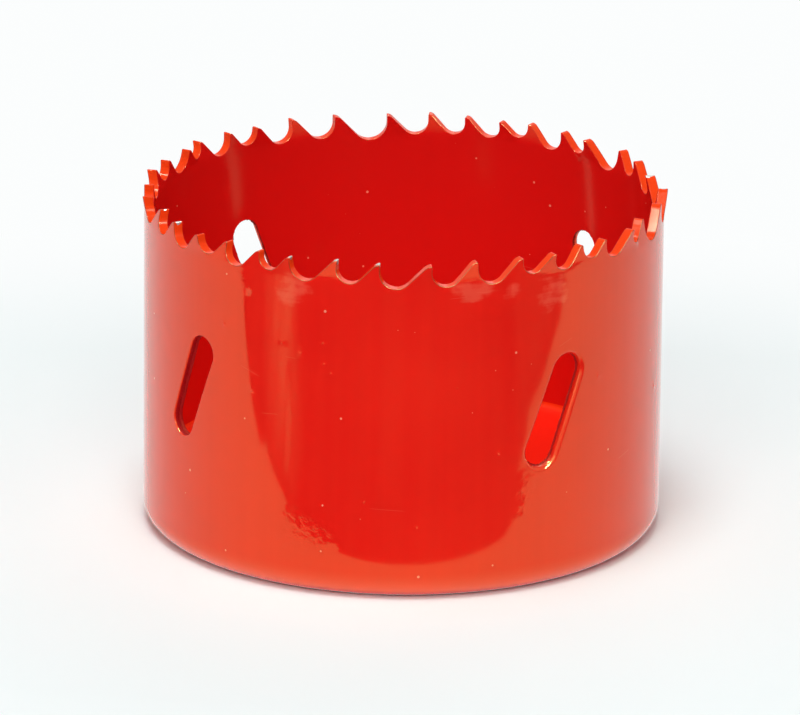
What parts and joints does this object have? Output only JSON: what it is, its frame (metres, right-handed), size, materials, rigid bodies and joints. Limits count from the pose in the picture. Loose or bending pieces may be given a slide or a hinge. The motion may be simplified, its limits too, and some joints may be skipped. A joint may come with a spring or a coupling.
{
  "type": "hole saw",
  "caption": "Red enamelled hole saw: a toothed steel cup with slanted slots in its wall and a thick back plate, tapped for an arbor and holed for its drive pins.",
  "frame": {"origin": "on the saw's axis, in the plane that the turned-in back rim rests on", "axes": "+Z along the saw's axis towards the tooth tips; +X is square to it, and the four slots' middles are at -143.2, -54.5, 39.5 and 126.8 degrees from +X"},
  "size_m": [0.0645, 0.0646, 0.0426],
  "materials": {
    "cup_enamel": "gloss red enamel",
    "plate_enamel": "gloss red enamel"
  },
  "bodies": {
    "root": {"toothed_cup": "cup_enamel", "back_plate": "plate_enamel"}
  },
  "joints": []
}
